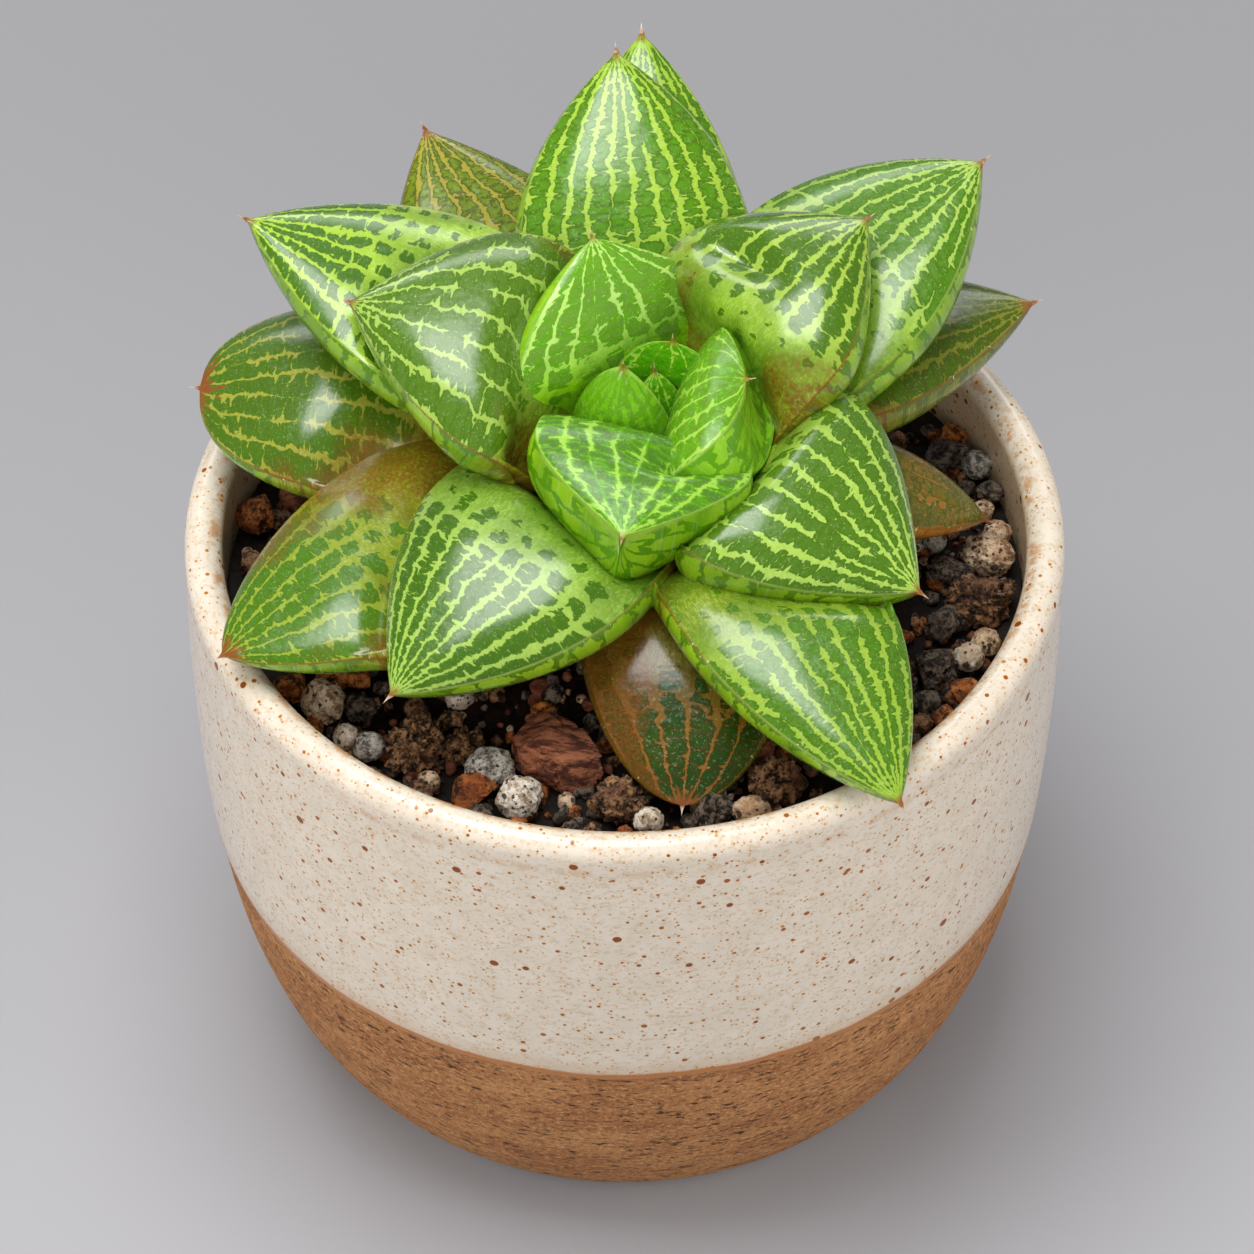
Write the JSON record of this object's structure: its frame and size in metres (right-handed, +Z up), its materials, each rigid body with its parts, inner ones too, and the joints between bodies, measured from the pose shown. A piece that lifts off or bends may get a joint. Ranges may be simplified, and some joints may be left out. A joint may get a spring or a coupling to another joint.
{
  "type": "potted haworthia",
  "caption": "Small succulent rosette of thick, pointed, net-patterned leaves growing in gritty mix in a round tapered stoneware pot with a speckled glaze.",
  "frame": {"origin": "centre of the pot's flat base, on the surface it stands on", "axes": "+Z up, -Y towards the picture's viewer, +X to the picture's right"},
  "size_m": [0.11, 0.1118, 0.1189],
  "materials": {
    "stoneware": "glossy speckled cream glaze over a bare tan clay band at the foot",
    "potting_mix": "rough, with pale pumice, red lava and dark bark grains",
    "stem": "satin, fleshy",
    "young_leaf": "glossy fresh green with a pale net",
    "green_leaf": "glossy deep green with a pale net",
    "old_leaf": "satin bronze brown"
  },
  "bodies": {
    "root": {"pot": "stoneware", "potting_mix": "potting_mix", "stem": "stem", "leaf_bud_front": "young_leaf", "leaf_bud_back": "young_leaf", "leaf_heart_left": "young_leaf", "leaf_heart_right": "young_leaf", "leaf_inner_back": "young_leaf", "leaf_inner_front": "young_leaf", "leaf_inner_right": "green_leaf", "leaf_inner_left": "green_leaf", "leaf_mid_right": "green_leaf", "leaf_mid_back": "green_leaf", "leaf_mid_front_left": "green_leaf", "leaf_outer_right_back": "green_leaf", "leaf_outer_left_back": "green_leaf", "leaf_outer_front_right": "green_leaf", "leaf_outer_back": "green_leaf", "leaf_low_front_left": "green_leaf", "leaf_low_left": "green_leaf", "leaf_low_back_left": "green_leaf", "leaf_low_right_back": "green_leaf", "leaf_low_front": "old_leaf", "leaf_low_right": "old_leaf"}
  },
  "joints": []
}
